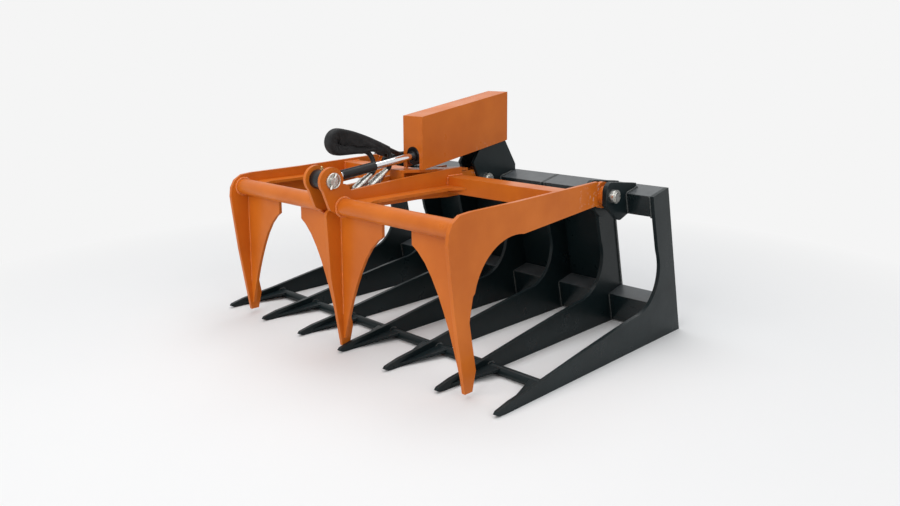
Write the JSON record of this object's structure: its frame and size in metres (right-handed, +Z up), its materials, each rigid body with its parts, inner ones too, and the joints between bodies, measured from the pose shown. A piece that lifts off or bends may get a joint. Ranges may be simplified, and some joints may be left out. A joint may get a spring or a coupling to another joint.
{
  "type": "skeleton grapple attachment",
  "caption": "Skeleton grapple for a compact loader: open tined lower frame with a hinged toothed clamp, worked by one hydraulic cylinder under a sheet guard.",
  "frame": {"origin": "middle of the footprint, without the hoses, on the ground under the tines", "axes": "+Z up, the tines point to -Y, the loader couples on the +Y side, +X to the right seen from the front"},
  "size_m": [1.067, 0.8362, 0.638],
  "materials": {
    "frame_paint": "gloss",
    "clamp_paint": "satin",
    "cylinder_paint": "gloss",
    "zinc": "satin",
    "chrome": "polished",
    "sleeve": "satin",
    "bronze": "satin",
    "hose_cover": "matte"
  },
  "bodies": {
    "frame": {"tine_1": "frame_paint", "tine_2": "frame_paint", "tine_3": "frame_paint", "tine_4": "frame_paint", "tine_5": "frame_paint", "tine_6": "frame_paint", "tine_7": "frame_paint", "tip_gussets": "frame_paint", "top_tube": "frame_paint", "lower_tube": "frame_paint", "front_bar": "frame_paint", "bracket_left": "frame_paint", "bracket_right": "frame_paint", "tower": "frame_paint", "hinge_pins": "zinc", "hinge_collars": "zinc", "tower_pin": "zinc", "carrier_plate": "frame_paint", "carrier_hook": "frame_paint", "carrier_ledge": "frame_paint"},
    "clamp": {"arm_left": "clamp_paint", "arm_right": "clamp_paint", "middle_plate_left": "clamp_paint", "middle_plate_right": "clamp_paint", "middle_tooth": "clamp_paint", "front_tube_left": "clamp_paint", "front_tube_right": "clamp_paint", "rear_tube": "clamp_paint", "tail_box": "clamp_paint", "tail_sides": "clamp_paint", "hinge_bosses": "clamp_paint", "wing_left": "clamp_paint", "wing_right": "clamp_paint", "wing_middle_left": "clamp_paint", "wing_middle_right": "clamp_paint", "flange_left": "clamp_paint", "flange_right": "clamp_paint", "flange_middle_left": "clamp_paint", "flange_middle_right": "clamp_paint", "clevis_pin": "zinc", "clevis_washers": "zinc", "lynch_pins": "zinc"},
    "barrel": {"barrel": "cylinder_paint", "gland": "cylinder_paint", "wiper": "sleeve", "barrel_eye": "cylinder_paint", "guard": "clamp_paint", "guard_front": "clamp_paint", "guard_saddle": "clamp_paint", "port_fittings": "zinc", "coupler_a": "zinc", "coupler_b": "zinc", "hose_a": "hose_cover", "hose_b": "hose_cover"},
    "rod": {"rod": "chrome", "piston": "zinc", "rod_sleeve": "sleeve", "rod_eye": "cylinder_paint", "eye_bush": "bronze", "grease_fitting": "zinc"}
  },
  "joints": [
    {"name": "clamp_hinge", "type": "hinge", "parent": "frame", "child": "clamp", "pos_m": [-0.014, 0.16586, 0.388], "axis": [-1, 0, 0], "range_deg": [0, 40]},
    {"name": "cylinder_swing", "type": "hinge", "parent": "frame", "child": "barrel", "pos_m": [-0.014, 0.20286, 0.507], "axis": [-1, 0, 0], "range_deg": [0, 39.4]},
    {"name": "rod_stroke", "type": "slide", "parent": "barrel", "child": "rod", "axis": [0, 0.9939, 0.1101], "range_m": [0, 0.0851]}
  ],
  "couplings": [
    {"joint": "cylinder_swing", "follows": "clamp_hinge", "ratio": 0.9849},
    {"joint": "rod_stroke", "follows": "clamp_hinge", "m_per_rad": 0.12189}
  ]
}
